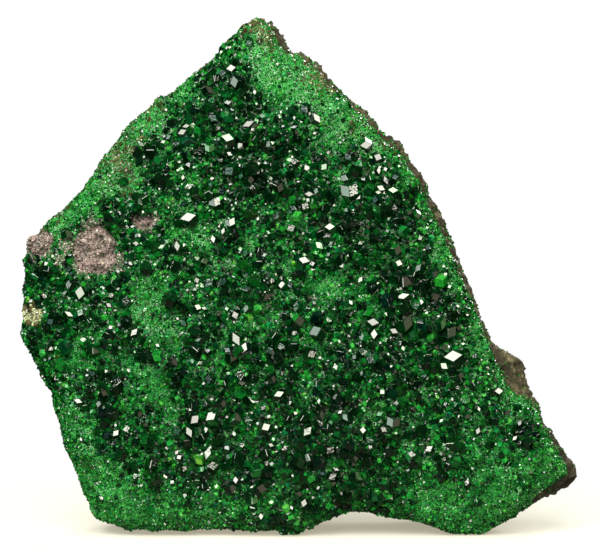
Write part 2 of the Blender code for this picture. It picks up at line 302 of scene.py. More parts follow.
# %% [markdown]
# ## The ground of the crust
#
# The crystals grow out of a sheet of garnet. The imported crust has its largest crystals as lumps, so
# the copy is smoothed along the depth only, which levels the lumps and keeps the outline. It is
# also swollen a little, and its back is drawn out unevenly, so that it laps over the rock's edge in
# tongues and closes the joint, but not at the peak, where the rock is thin. What is left is a
# rolling ground that shows as green in the gaps between the crystals.
#
# It is pushed like the rock: its lower left corner goes out with the rock's, it is drawn up at the
# right tip, where the photo shows an edge of bare rock, and its foot is lifted a little, because the
# stone stands on its rock and the crust throws a shadow there. Its rim is noted before it gets
# rough, because the garnets stay small there.

# %% Remesh the crust and level it
GROUND_VOXEL = 0.55 * MM
LEVELLING = 14
LEVELLING_FACTOR = 0.6
GROUND_SWELL = 0.15 * MM
LAP = (2.6 * MM, 2.0 * MM, 0.15)
LAP_TOP = 65.7 * MM

ground = merged_copy("uvarovite_crust", "garnet_ground")
apply_step(ground, "REMESH", mode="VOXEL", voxel_size=GROUND_VOXEL)
apply_step(
    ground, "SMOOTH", use_x=False, use_z=False, factor=LEVELLING_FACTOR, iterations=LEVELLING,
    vertex_group=facing(ground, -1),
)
apply_step(ground, "DISPLACE", strength=GROUND_SWELL, mid_level=0.0)
lapping = facing(ground, 1)
peak = [corner.index for corner in ground.data.vertices if corner.co.z > LAP_TOP]
ground.vertex_groups[lapping].remove(peak)
roughen(ground, "BLENDER_ORIGINAL", *LAP, lapping, "Y")
report(ground)

# %% Fit its foot and its corners, note the rim and make it roll
FOOT_HEIGHT = 3.5 * MM
FOOT_LIFT = 0.95 * MM
RIGHT_FOOT_SHARE = 0.3
RIGHT_CORNER = (32.5 * MM, 5.5 * MM, 4.0 * MM)
BARE_EDGE = 1.3 * MM
SIDEWAYS = 0.4
ROLL = (2.0 * MM, 0.9 * MM)


def at_the_foot(corner):
    """How far a corner is lifted: the lowest ones, most of all on the left foot."""
    share = max(1 - corner.co.z / FOOT_HEIGHT, 0.0)
    return share if corner.co.x < LEFT_FOOT_END else share * RIGHT_FOOT_SHARE


push(ground, "Z", FOOT_LIFT, group_by(ground, "foot", at_the_foot))
push(ground, "X", -CORNER_PUSH, around(ground, *LEFT_CORNER))
push(ground, "Z", BARE_EDGE, around(ground, *RIGHT_CORNER))
rim = finder_of(
    [(c.co.x, 0.0, c.co.z) for c in ground.data.vertices if abs(c.normal.y) < SIDEWAYS]
)
roughen(ground, "BLENDER_ORIGINAL", *ROLL)
report(ground)

# %% [markdown]
# ## Three garnets to copy
#
# Uvarovite grows as rhombic dodecahedra: twelve equal rhombi. The quickest way to one is a cube
# with a pyramid raised on each face by half the cube's edge. Each pair of triangles that meet over
# a cube edge is then flat, and dissolving the flat edges leaves the twelve rhombi.
#
# The largest garnets get a narrow bevel, so that their edges catch the light. Of the finest ones
# only a four-sided tip stands out of the ground. Two such tips base to base, an octahedron, need
# eight faces in place of twenty-four triangles, which lets the crust hold three times as many. The
# tips are drawn out of one square by extruding it and merging the end to a point.

# %% Model the crystals by hand
EDGE_BEVEL = 0.035
FLAT_ANGLE = math.radians(1)


def model_garnet(name, bevel):
    """A garnet one unit across its cube, with its edges bevelled by a share of it if asked."""
    bpy.ops.object.select_all(action="DESELECT")
    bpy.ops.mesh.primitive_cube_add(size=1.0, location=(0, 0, 0))
    crystal = bpy.context.object
    crystal.name = name
    bpy.ops.object.mode_set(mode="EDIT")
    bpy.ops.mesh.select_all(action="SELECT")
    bpy.ops.mesh.poke(offset=0.5)
    bpy.ops.mesh.select_all(action="SELECT")
    bpy.ops.mesh.dissolve_limited(angle_limit=FLAT_ANGLE)
    if bevel:
        bpy.ops.mesh.select_all(action="SELECT")
        bpy.ops.mesh.bevel(offset=bevel, segments=1, affect="EDGES")
    bpy.ops.object.mode_set(mode="OBJECT")
    return crystal


def model_tip(name):
    """The garnet's four-sided tip twice, base to base, one unit from the middle to each end."""
    bpy.ops.object.select_all(action="DESELECT")
    bpy.ops.mesh.primitive_circle_add(vertices=4, radius=1.0, location=(0, 0, 0))
    tip = bpy.context.object
    tip.name = name
    for end in (1, -1):
        bpy.ops.object.mode_set(mode="EDIT")
        bpy.ops.mesh.select_all(action="DESELECT")
        bpy.ops.mesh.select_mode(type="VERT")
        bpy.ops.object.mode_set(mode="OBJECT")
        for corner in tip.data.vertices:
            corner.select = abs(corner.co.z) < 0.5
        bpy.ops.object.mode_set(mode="EDIT")
        bpy.ops.mesh.extrude_edges_move(TRANSFORM_OT_translate={"value": (0, 0, end)})
        bpy.ops.mesh.merge(type="CENTER")
    bpy.ops.mesh.select_all(action="SELECT")
    bpy.ops.mesh.normals_make_consistent(inside=False)
    bpy.ops.object.mode_set(mode="OBJECT")
    return tip


def shape_of(crystal):
    """The corners and the faces of a crystal, which is then no longer needed."""
    corners = np.array([corner.co for corner in crystal.data.vertices])
    faces = [list(face.vertices) for face in crystal.data.polygons]
    print(crystal.name, "has", len(corners), "corners and", len(faces), "faces")
    bpy.data.objects.remove(crystal)
    return corners, faces


sharp_garnet = shape_of(model_garnet("sharp garnet", 0.0))
bevelled_garnet = shape_of(model_garnet("bevelled garnet", EDGE_BEVEL))
garnet_tip = shape_of(model_tip("garnet tip"))

# %% [markdown]
# ## Where they grow large and where they grow fine
#
# The crust isn't even. Over most of the face the garnets are one to two millimetres across and look
# nearly black. On the ridges and round the edge they are fine as sugar and bright green. A
# coarseness from 0 to 1 says which is which at each place: it starts from one value for the whole
# face, spots read off the photograph raise or lower it, and noise breaks the spots up. The same way
# of writing says where rock dust turns the sugar brown, and one strong spot at the left edge paints
# a highlight of pale glints.

# %% Coarse pockets, fine ridges, stains and a painted highlight, as (mm across, mm up, mm of reach, strength)
COARSE_SPOTS = (
    (-8.5, 59.0, 2.5, 0.6),
    (-10.0, 56.0, 3.0, 0.3),
    (-6.5, 50.0, 6.0, 0.35),
    (9.0, 41.5, 5.5, 0.35),
    (14.5, 42.0, 3.0, 0.3),
    (17.0, 30.5, 4.0, 0.35),
    (9.0, 20.0, 7.0, 0.3),
    (2.5, 12.0, 6.0, 0.3),
    (-32.5, 33.5, 3.0, 0.2),
    (-24.0, 14.5, 3.5, 0.3),
    (29.3, 14.2, 1.5, 0.7),
    (-10.0, 13.0, 5.0, 0.25),
)
FINE_SPOTS = (
    (-4.0, 64.0, 3.6, 1.0),
    (-2.5, 59.5, 3.2, 1.0),
    (1.5, 58.8, 3.2, 0.9),
    (6.2, 54.5, 2.6, 0.9),
    (10.0, 51.5, 2.2, 0.8),
    (13.7, 48.0, 1.8, 0.7),
    (16.3, 42.8, 1.7, 0.8),
    (18.2, 38.2, 1.8, 0.9),
    (20.2, 33.7, 1.7, 0.8),
    (22.8, 27.8, 1.9, 0.8),
    (26.0, 23.9, 2.6, 0.9),
    (28.0, 19.4, 2.4, 0.8),
    (30.6, 14.8, 2.2, 0.7),
    (33.8, 8.3, 3.0, 1.0),
    (28.6, 5.7, 4.2, 0.5),
    (22.1, 4.8, 4.2, 0.4),
    (16.9, 4.4, 3.6, 0.5),
    (-30.0, 15.5, 2.2, 1.0),
    (-27.5, 9.0, 3.2, 1.0),
    (-24.0, 4.0, 3.8, 1.0),
    (-17.0, 2.6, 3.0, 0.6),
    (-10.4, 2.5, 2.5, 0.35),
    (-20.0, 31.5, 2.4, 0.65),
    (-18.2, 27.0, 2.2, 0.55),
    (-19.5, 21.3, 2.0, 0.4),
    (-16.9, 17.4, 2.0, 0.3),
    (-29.9, 22.6, 2.2, 0.5),
    (-20.0, 55.0, 2.2, 0.8),
    (-23.5, 50.0, 2.4, 0.6),
    (-22.5, 46.5, 2.4, 0.3),
    (-27.0, 45.0, 2.2, 0.7),
    (-15.5, 58.2, 1.8, 0.7),
    (-31.2, 40.8, 2.2, 0.7),
    (3.3, 33.0, 2.6, 0.5),
    (2.6, 27.2, 2.2, 0.35),
    (-14.3, 42.8, 3.0, 0.25),
    (-15.6, 38.9, 2.6, 0.25),
    (-5.9, 42.8, 2.2, 0.2),
    (-11.0, 37.6, 2.2, 0.2),
    (5.2, 47.3, 2.0, 0.4),
)
DUST_AND_GLINT_SPOTS = (
    (-5.0, 65.8, 3.6, 0.6),
    (1.3, 60.6, 3.0, 0.4),
    # This spot reaches the top of the dust ramp, which paints a highlight of pale glints there.
    (-34.7, 29.1, 1.0, 4.5),
    (3.3, 58.4, 2.5, 0.4),
    (-22.1, 51.2, 4.0, 0.45),
    (-24.1, 46.7, 3.5, 0.4),
    (-18.2, 56.4, 2.5, 0.4),
    (-31.0, 41.0, 3.0, 0.35),
    (-19.5, 30.4, 3.5, 0.3),
    (7.2, 53.2, 3.0, 0.35),
    (11.0, 51.2, 2.5, 0.35),
    (-27.3, 8.3, 3.0, 0.25),
    (-17.0, 3.0, 3.0, 0.2),
)
FACE_COARSENESS = 0.60
COARSE_NOISES = ((0.40, 3.4 * MM), (0.30, 1.3 * MM))
DUST_AND_GLINT_NOISE = (0.6, 1.6 * MM)


def share_of(spots, across, up):
    """How strongly these spots hold at each place. across and up are in millimetres."""
    total = np.zeros(len(across))
    for spot_across, spot_up, reach, strength in spots:
        away = ((across - spot_across) ** 2 + (up - spot_up) ** 2) / reach**2
        total += strength * np.exp(-away)
    return total


def soft_noise(places, grain):
    """Noise of about -1 to 1 at each place, with lumps of this grain."""
    return np.array([noise.noise(Vector(place) / grain) for place in places])


def broken_up(share, places, *noises):
    """share at each place with noises added, each one as (strength, grain)."""
    return share + sum(strength * soft_noise(places, grain) for strength, grain in noises)


def coarseness_at(places):
    """0 where the garnets are fine as sugar, and 1 where they are largest."""
    across, up = places[:, 0] / MM, places[:, 2] / MM
    share = FACE_COARSENESS + share_of(COARSE_SPOTS, across, up) - share_of(FINE_SPOTS, across, up)
    return np.clip(broken_up(share, places, *COARSE_NOISES), 0.0, 1.0)


def dust_and_glint_at(places):
    """How much rock dust lies among the garnets, with one strong spot for a painted highlight of pale
    glints.
    """
    across, up = places[:, 0] / MM, places[:, 2] / MM
    dust = share_of(DUST_AND_GLINT_SPOTS, across, up) * broken_up(1, places, DUST_AND_GLINT_NOISE)
    return np.clip(dust, 0.0, 1.0)


print(len(COARSE_SPOTS), "coarse,", len(FINE_SPOTS), "fine and", len(DUST_AND_GLINT_SPOTS), "stained spots")

# %% [markdown]
# ## Choosing the places
#
# Places are drawn over a surface in proportion to its area. Each gets a size from the coarseness
# there. Then they are thinned from the largest down: a crystal keeps its place only if no larger
# one already stands too close. That leaves small garnets in the gaps between big ones, as in the
# real druse, where all of them competed for room.

# %% Draw places over a surface
FRONT_AND_SIDES = 0.25


def faces_of(piece, allowed):
    """Corners, normal and area of each triangle whose middle and normal are allowed."""
    piece.data.calc_loop_triangles()
    triangles = piece.data.loop_triangles
    indices = np.empty(len(triangles) * 3, int)
    triangles.foreach_get("vertices", indices)
    corners = corners_of(piece)[indices.reshape(-1, 3)]
    normals = np.cross(corners[:, 1] - corners[:, 0], corners[:, 2] - corners[:, 0])
    areas = np.linalg.norm(normals, axis=1) / 2
    normals /= np.maximum(2 * areas, 1e-18)[:, None]
    kept = allowed(corners.mean(axis=1), normals)
    return corners[kept], normals[kept], areas[kept]


def draw_places(piece, allowed, to_a_square_mm, draw):
    """Random places on piece, this many to a square millimetre, with the normal at each."""
    corners, normals, areas = faces_of(piece, allowed)
    count = int(to_a_square_mm * areas.sum() / MM**2)
    chosen = draw.choice(len(areas), size=count, p=areas / areas.sum())
    first, second = draw.random((2, count))
    folded = first + second > 1
    first[folded], second[folded] = 1 - first[folded], 1 - second[folded]
    start = corners[chosen, 0]
    along = corners[chosen, 1] - start
    across = corners[chosen, 2] - start
    return start + along * first[:, None] + across * second[:, None], normals[chosen]


def on_the_face(middles, normals):
    """The front and the sides of the crust, but not its back."""
    return normals[:, 1] < FRONT_AND_SIDES


face_area = faces_of(ground, on_the_face)[2].sum()
print("room for garnets:", round(face_area / MM**2), "square mm")

# %% Thin them from the largest down
CLOSENESS = 0.52


def thin_out(places, radii, closeness):
    """Which places stay when no two stand closer than this share of their radii together."""
    order = np.argsort(-radii)
    finder = finder_of(places[order])
    kept = np.ones(len(order), bool)
    for rank, index in enumerate(order):
        if not kept[rank]:
            continue
        for _, other, distance in finder.find_range(places[index], 2 * closeness * radii[index]):
            if other > rank and distance < closeness * (radii[index] + radii[order[other]]):
                kept[other] = False
    return order[kept]


print("garnets may reach into one another by", round(1 - CLOSENESS, 2), "of their radii")

# %% [markdown]
# ## Garnets that catch the eye
#
# Most of the white faces come by chance, but the eye knows the largest ones, so those are listed one
# by one, where the photograph shows them. A flat face mirrors a lamp when it points halfway between
# the lamp and the camera. Each of these garnets is turned so that one rhombus does that for the
# lamp it is listed under, and is then spun and stretched within the plane of that face.

# %% Places in the photograph, as (pixels across, pixels down, pixels wide)
MIRRORING = {
    "window": (
        (453, 356, 13), (211, 416, 13), (403, 296, 10), (231, 68, 9), (374, 334, 9), (188, 217, 11),
        (304, 260, 8), (213, 239, 7), (223, 231, 6), (281, 284, 7), (421, 302, 6), (78, 401, 7),
        (458, 416, 5), (305, 466, 6), (252, 506, 6), (507, 463, 5), (340, 412, 4), (172, 482, 5),
    ),
    "right lamp": (
        (266, 427, 11), (317, 118, 8), (381, 188, 7), (393, 190, 9), (363, 430, 8), (279, 394, 9),
        (444, 366, 7), (232, 222, 7), (399, 263, 8), (198, 307, 6), (307, 168, 6), (325, 455, 8),
        (206, 429, 6), (499, 391, 8), (479, 409, 5), (69, 314, 7), (116, 433, 7), (387, 314, 5),
    ),
    "front lamp": (
        (366, 145, 10), (378, 157, 8), (248, 124, 9), (182, 132, 8), (186, 126, 6), (373, 322, 9),
        (394, 331, 8), (236, 339, 10), (304, 503, 8), (177, 246, 7), (309, 194, 6), (324, 167, 7),
        (189, 432, 8), (478, 431, 6), (336, 469, 5), (80, 293, 10), (271, 445, 5), (240, 145, 8),
    ),
    "pale card": (
        (229, 171, 11), (213, 118, 9), (296, 307, 8), (370, 440, 8), (246, 289, 9), (304, 109, 7),
        (209, 283, 8), (290, 285, 6), (395, 177, 9), (67, 393, 7), (293, 208, 7), (249, 43, 8),
        (223, 73, 6), (428, 247, 6), (241, 493, 5), (249, 421, 8), (348, 157, 9), (415, 306, 8),
    ),
    "grey card": (
        (345, 191, 12), (344, 178, 7), (390, 422, 10), (345, 417, 9), (315, 331, 11), (418, 268, 7),
        (346, 210, 6), (232, 418, 10), (316, 191, 7), (268, 144, 8), (463, 358, 5), (525, 434, 6),
    ),
    "teal card": (
        (240, 196, 10), (212, 72, 9), (207, 109, 9), (259, 264, 8), (224, 426, 8), (186, 490, 9),
        (379, 364, 8), (110, 288, 9), (239, 242, 8), (178, 223, 8), (123, 183, 8),
    ),
    "brown card": (
        (251, 180, 10), (69, 234, 8), (210, 90, 9), (408, 323, 12), (407, 281, 11), (300, 321, 12),
        (398, 250, 9), (200, 430, 6), (96, 350, 9), (452, 332, 12), (255, 500, 8), (322, 415, 8),
    ),
}
print("garnets to place by hand:", sum(len(crystals) for crystals in MIRRORING.values()))

# %% Stand them where they are seen, and turn them
SEEN_WIDTH = 1.15
STANDING_OUT = 0.08
MIRROR_STRETCH = (0.75, 1.3)
draw = np.random.default_rng(7)


def seen_at(across, down):
    """Where the line of sight through a pixel of the photograph meets the ground."""
    up = Vector((0.0, math.sin(CAMERA_ELEVATION), math.cos(CAMERA_ELEVATION)))
    aim = look_at + up * (FRAME_HEIGHT / 2 - down) * PIXEL
    aim.x += (across - FRAME_WIDTH / 2) * PIXEL
    found, place, _, _ = ground.ray_cast(camera.location, (aim - camera.location).normalized())
    return place if found else None


def turned_to(out, draw):
    """The matrix that turns a garnet's rhombus to face out, spins it and stretches it."""
    half = math.sqrt(0.5)
    rhombus = Matrix(((0, 0, 1), (half, -half, 0), (half, half, 0)))
    stretch = Matrix.Diagonal((*draw.uniform(*MIRROR_STRETCH, 2), 1.0))
    spin = Matrix.Rotation(draw.uniform(0, math.tau), 3, "Z")
    return out.to_track_quat("Z", "Y").to_matrix() @ spin @ stretch @ rhombus


mirror_middles, mirror_radii, mirror_turns = [], [], []
for lamp, crystals in MIRRORING.items():
    for across, down, wide in crystals:
        place = seen_at(across, down)
        if place is None:
            print("nothing is seen at", across, down)
            continue
        radius = wide * PIXEL / SEEN_WIDTH
        to_camera = (camera.location - place).normalized()
        out = (to_camera + (Vector(LAMPS[lamp][0]) - place).normalized()).normalized()
        aside = out - to_camera * out.dot(to_camera)
        sideways = aside * radius * math.sqrt(0.5)
        mirror_middles.append(place + to_camera * STANDING_OUT * radius - sideways)
        mirror_radii.append(radius)
        mirror_turns.append(turned_to(out, draw))
mirror_middles, mirror_radii = np.array(mirror_middles), np.array(mirror_radii)
print("placed by hand:", len(mirror_radii))

# %% [markdown]
# ## Room for the chlorite
#
# Pink chlorite covers the garnets in three patches near the left corner, so none are drawn there.
# Noise makes the outline of a patch ragged, and its edge is crossed at random, so that single
# garnets and scales mix along it.

# %% Where chlorite takes the garnets' place, as (mm across, mm up, mm of reach)
CHLORITE_NODES = ("pink_chlorite_large", "pink_chlorite_small", "pink_chlorite_corner")
CHLORITE_AREAS = (
    (-26.3, 37.4, 3.1),
    (-26.9, 40.5, 1.4),
    (-28.0, 35.3, 1.7),
    (-24.2, 36.2, 1.7),
    (-30.2, 37.8, 1.1),
    (-30.9, 36.3, 0.8),
    (-20.0, 41.0, 1.3),
    (-18.9, 41.4, 0.9),
    (-21.4, 41.3, 0.8),
    (-33.6, 38.2, 1.5),
    (-35.0, 36.9, 1.0),
    (-33.0, 37.0, 0.8),
)
CHLORITE_NOISES = ((0.35, 1.4 * MM), (0.25, 0.6 * MM))


def chlorite_at(places):
    """Above 0 inside the chlorite areas, whose edges are ragged."""
    across, up = places[:, 0] / MM, places[:, 2] / MM
    inside = np.full(len(places), -1.0)
    for middle_across, middle_up, reach in CHLORITE_AREAS:
        away = np.hypot(across - middle_across, up - middle_up) / reach
        inside = np.maximum(inside, 1 - away)
    return broken_up(inside, places, *CHLORITE_NOISES)


print("chlorite areas:", len(CHLORITE_AREAS))

# %% [markdown]
# ## Sizes
#
# Few crystals grow large and very many stay small. A power law says it in two numbers: the smallest
# radius, and how fast the larger ones get rare. In the sugar they get rare at once.

# %% Garnets of every size on the ground
PLACES_TO_A_SQUARE_MM = 95.0
RAGGED_EDGE = (-0.04, 0.26)
SMALLEST = (0.125 * MM, 0.145 * MM)
RARITY = (6.5, 3.5)
COARSE_BAND = (0.15, 0.60)
LARGEST = 1.15 * MM
AT_THE_RIM = 0.22 * MM
AWAY_FROM_THE_RIM = 0.4
ROOM = 0.52


def clear_of(places, radii, middles, reaches):
    """Which places leave room for the crystals that stand at these middles already."""
    free = np.ones(len(places), bool)
    for middle, reach in zip(middles, reaches):
        free &= np.linalg.norm(places - middle, axis=1) > ROOM * reach + CLOSENESS * radii
    return free


places, normals = draw_places(ground, on_the_face, PLACES_TO_A_SQUARE_MM, draw)
clear = chlorite_at(places) < draw.uniform(*RAGGED_EDGE, len(places))
places, normals = places[clear], normals[clear]
coarse = coarseness_at(places)
grown = np.clip((coarse - COARSE_BAND[0]) / (COARSE_BAND[1] - COARSE_BAND[0]), 0, 1)
smallest = SMALLEST[0] + (SMALLEST[1] - SMALLEST[0]) * grown
rarity = RARITY[0] + (RARITY[1] - RARITY[0]) * grown
to_the_rim = np.array([rim.find((across, 0.0, up))[2] for across, _, up in places])
largest = np.clip(AT_THE_RIM + AWAY_FROM_THE_RIM * to_the_rim, None, LARGEST)
radii = np.minimum(smallest * draw.random(len(places)) ** (-1 / rarity), largest)
print("places drawn:", len(places))
clear = clear_of(places, radii, mirror_middles, mirror_radii)
places, normals, radii, coarse = places[clear], normals[clear], radii[clear], coarse[clear]
kept = thin_out(places, radii, CLOSENESS)
places, normals, radii, coarse = places[kept], normals[kept], radii[kept], coarse[kept]
print("garnets kept:", len(places), "of which over 1 mm across:", int((radii > 0.5 * MM).sum()))

# %% [markdown]
# ## Growing the crystals
#
# Each place gets a garnet, turned at random, slightly stretched and sunk by about half. All of them
# are worked out together as arrays and joined into a few meshes, because thousands of separate
# objects would be slow. Every face carries three numbers for the finish to read. Its tint differs
# from facet to facet, and that difference is painted light, standing in for the light reflected
# inside a clear crystal. Its hue leans to teal or to olive. Its third number says whether rock dust
# covers the crystal; at its top it paints a highlight of pale glints.
#
# The faces also get a UV map in which each has a small cell of its own. Only a finish that is
# painted into an image needs it, and it lets every facet keep its own colour there.

# %% Lay each face in its own cell
CELL_FILL = 0.42


def add_cells(mesh, sides):
    """A UV map with one cell for each face. sides is the number of corners of each."""
    across = math.ceil(math.sqrt(len(sides)))
    face = np.repeat(np.arange(len(sides)), sides)
    starts = np.repeat(np.cumsum(sides) - sides, sides)
    angle = (np.arange(len(face)) - starts + 0.5) / sides[face] * math.tau
    cells = np.empty((len(face), 2), np.float32)
    cells[:, 0] = (face % across + 0.5 + CELL_FILL * np.cos(angle)) / across
    cells[:, 1] = (face // across + 0.5 + CELL_FILL * np.sin(angle)) / across
    mesh.uv_layers.new(name="OFBake").uv.foreach_set("vector", cells.ravel())


print("each face fills", CELL_FILL, "of its cell's width to either side")

# %% Join one crystal at each place into a mesh
# Painted light: how far a facet's tint strays from its crystal's, for the light reflected inside.
FACET_PAINTED_LIGHT_SPREAD = 0.20
UNEVEN_BELOW = 0.30 * MM
LEAST_UNEVEN = 0.65


def random_turns(count, draw):
    """Evenly spread rotation matrices, from random quaternions."""
    w, x, y, z = (q := draw.normal(size=(4, count))) / np.linalg.norm(q, axis=0)
    return np.stack(
        (
            np.stack((1 - 2 * (y * y + z * z), 2 * (x * y - w * z), 2 * (x * z + w * y)), -1),
            np.stack((2 * (x * y + w * z), 1 - 2 * (x * x + z * z), 2 * (y * z - w * x)), -1),
            np.stack((2 * (x * z - w * y), 2 * (y * z + w * x), 1 - 2 * (x * x + y * y)), -1),
        ),
        1,
    )


def grow(name, shape, stretch, places, radii, marks, draw, turns=None):
    """One mesh of crystals. marks are tint, hue and dust by name, one number each; each facet's tint
    gets painted light.
    """
    corners, faces = shape
    count = len(places)
    stretches = draw.uniform(*stretch, (count, 1, 3))
    if turns is None:
        turns = random_turns(count, draw)
    turned = np.einsum("nij,nkj->nki", turns, corners * stretches)
    points = (turned * radii[:, None, None] + places[:, None, :]).reshape(-1, 3)
    steps = np.arange(count) * len(corners)
    sides = np.array([len(face) for face in faces])
    flat = np.concatenate(faces)
    mesh = bpy.data.meshes.new(name)
    mesh.vertices.add(len(points))
    mesh.vertices.foreach_set("co", points.ravel())
    mesh.loops.add(count * len(flat))
    mesh.loops.foreach_set("vertex_index", (steps[:, None] + flat).ravel())
    mesh.polygons.add(count * len(faces))
    starts = np.cumsum(sides) - sides
    loop_starts = (np.arange(count)[:, None] * len(flat) + starts).ravel()
    mesh.polygons.foreach_set("loop_start", loop_starts)
    mesh.update(calc_edges=True)
    mesh.shade_flat()
    for mark, numbers in marks.items():
        # Painted light: each facet's tint is shifted at random, most on small crystals, for the light
        # inside.
        spread = np.clip(UNEVEN_BELOW / radii, LEAST_UNEVEN, 1.0)
        spread *= FACET_PAINTED_LIGHT_SPREAD if mark == "tint" else 0.0
        facets = numbers[:, None] + draw.normal(0.0, 1.0, (count, len(faces))) * spread[:, None]
        facets = np.clip(facets, 0, 1).astype(np.float32)
        mesh.attributes.new(mark, "FLOAT", "FACE").data.foreach_set("value", facets.ravel())
    add_cells(mesh, np.tile(sides, count))
    piece = bpy.data.objects.new(name, mesh)
    bpy.context.scene.collection.objects.link(piece)
    report(piece)
    return piece


print("tints differ by about", FACET_PAINTED_LIGHT_SPREAD, "from facet to facet")

# %% The large garnets, the middling ones and the sugar, with mottling as (strength, grain)
LARGE = 0.60 * MM
MIDDLING = 0.29 * MM
GARNET_STRETCH = (0.80, 1.22)
TIP_STRETCH = (0.7, 1.1)
MOST_TRIANGLES = 180000
SUGAR_TINT = 0.56
COARSE_TINT = 0.20
SIZE_DARKENS = 0.22
MOTTLING = (0.16, 0.8 * MM)
DUST_AND_GLINT_SPREAD, TINT_SPREAD, HUE_SPREAD = 0.16, 0.19, 0.2
MIRROR_TINT = (0.15, 0.06)
MIRROR_HUE = (0.3, 0.7)
PROUD = (-0.35, 0.30)

size_share = np.clip((radii - MIDDLING) / LARGE, 0, 1)
stain = np.clip(dust_and_glint_at(places) + draw.normal(0.0, DUST_AND_GLINT_SPREAD, len(places)), 0, 1)
tint = SUGAR_TINT + (COARSE_TINT - SUGAR_TINT) * coarse
tint += draw.normal(0.0, TINT_SPREAD, len(places))
tint = broken_up(tint, places, MOTTLING) - SIZE_DARKENS * size_share
hue = np.clip(0.5 + draw.normal(0.0, HUE_SPREAD, len(places)), 0, 1)
marks = {"tint": tint, "hue": hue, "stain": stain * (1 - size_share)}
proud = draw.uniform(*PROUD, len(places)) * radii
centres = places + normals * proud[:, None]
centres[:, 2] = np.maximum(centres[:, 2], radii)
sizes = (
    ("garnets_large", bevelled_garnet, GARNET_STRETCH, radii > LARGE),
    ("garnets_middling", sharp_garnet, GARNET_STRETCH, (radii <= LARGE) & (radii > MIDDLING)),
    ("garnet_sugar", garnet_tip, TIP_STRETCH, radii <= MIDDLING),
)
mirror_marks = {
    "tint": draw.normal(*MIRROR_TINT, len(mirror_radii)),
    "hue": draw.uniform(*MIRROR_HUE, len(mirror_radii)),
    "stain": np.zeros(len(mirror_radii)),
}
druses = [
    grow(
        "garnets_mirroring", bevelled_garnet, (1.0, 1.0), mirror_middles, mirror_radii,
        mirror_marks, draw, np.array(mirror_turns),
    )
]
for name, shape, stretch, wanted in sizes:
    chosen = np.flatnonzero(wanted)
    chosen = chosen[np.argsort(centres[chosen, 0])]
    triangles = sum(len(face) - 2 for face in shape[1])
    parts = math.ceil(len(chosen) * triangles / MOST_TRIANGLES)
    for number, part in enumerate(np.array_split(chosen, parts), 1):
        part_name = name if parts == 1 else f"{name}_{number}"
        part_marks = {mark: numbers[part] for mark, numbers in marks.items()}
        druses.append(grow(part_name, shape, stretch, centres[part], radii[part], part_marks, draw))

# %% [markdown]
# ## Chlorite
#
# The pink patches are masses of tiny chlorite scales that lie over the garnets. Each packed lump is
# flattened, least at the corner of the stone, where its side shows, and then remeshed and crumbled.
# Scales are scattered over the lumps and over the ground around them, within a ragged outline. They
# are grown in the same way as the garnets, from the same tip, but squeezed more, because chlorite
# is flat.

# %% Crumble the chlorite
LUMP_VOXEL = 0.13 * MM
LUMP_WIDTH, LUMP_HEIGHT = 1.14, 1.10
LUMP_DEPTH = {"pink_chlorite_large": 0.28, "pink_chlorite_small": 0.28, "pink_chlorite_corner": 0.8}
LUMP_SUNK = 0.2 * MM
CRUMBS = (1.6 * MM, 1.7 * MM)
CHINKS = (0.5 * MM, -0.4 * MM)

patches = []
for node in CHLORITE_NODES:
    patch = merged_copy(node, node.replace("pink_", "") + "_grains")
    bpy.ops.object.mode_set(mode="EDIT")
    low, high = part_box(node)
    lump_scale = (LUMP_WIDTH, LUMP_DEPTH[node], LUMP_HEIGHT)
    bpy.ops.transform.resize(value=lump_scale, center_override=(low + high) / 2)
    bpy.ops.transform.translate(value=(0.0, LUMP_SUNK, 0.0))
    bpy.ops.object.mode_set(mode="OBJECT")
    apply_step(patch, "REMESH", mode="VOXEL", voxel_size=LUMP_VOXEL)
    roughen(patch, "BLENDER_ORIGINAL", *CRUMBS)
    roughen(patch, "VORONOI_F1", *CHINKS)
    report(patch)
    patches.append(patch)

# %% Scatter the scales
SCALES_TO_A_SQUARE_MM = 60.0
SCALE_RADIUS = (0.13 * MM, 0.26 * MM)
SCALE_STRETCH = (0.45, 1.1)
SCALE_CLOSENESS = 0.5
SCALE_TINT = (0.46, 0.20)
SCALE_MOTTLING = (0.3, 1.3 * MM)
SCALES_FROM = 0.05


def in_chlorite(middles, normals):
    """The parts of the crust's face that lie inside the chlorite areas."""
    return on_the_face(middles, normals) & (chlorite_at(middles) > SCALES_FROM)


drawn = [
    draw_places(surface, allowed, SCALES_TO_A_SQUARE_MM, draw)
    for surface, allowed in ((ground, in_chlorite), *((patch, on_the_face) for patch in patches))
]
scale_places = np.concatenate([spots for spots, _ in drawn])
scale_radii = draw.uniform(*SCALE_RADIUS, len(scale_places))
kept = thin_out(scale_places, scale_radii, SCALE_CLOSENESS)
scale_tints = broken_up(
    draw.normal(*SCALE_TINT, len(kept)), scale_places[kept], SCALE_MOTTLING
)
scales = grow(
    "chlorite_scales", garnet_tip, SCALE_STRETCH, scale_places[kept], scale_radii[kept],
    {"tint": np.clip(scale_tints, 0, 1)}, draw,
)

# %% [markdown]
# ## Green on the rock
#
# Thin films of fine garnet creep round the edge of the crust onto the rock, and a few patches grow
# on its back. They are the same tips, drawn on the rock's own surface. How near it is to the
# crust decides how many stay: all of them in a ragged band along the edge, and then fewer and fewer.

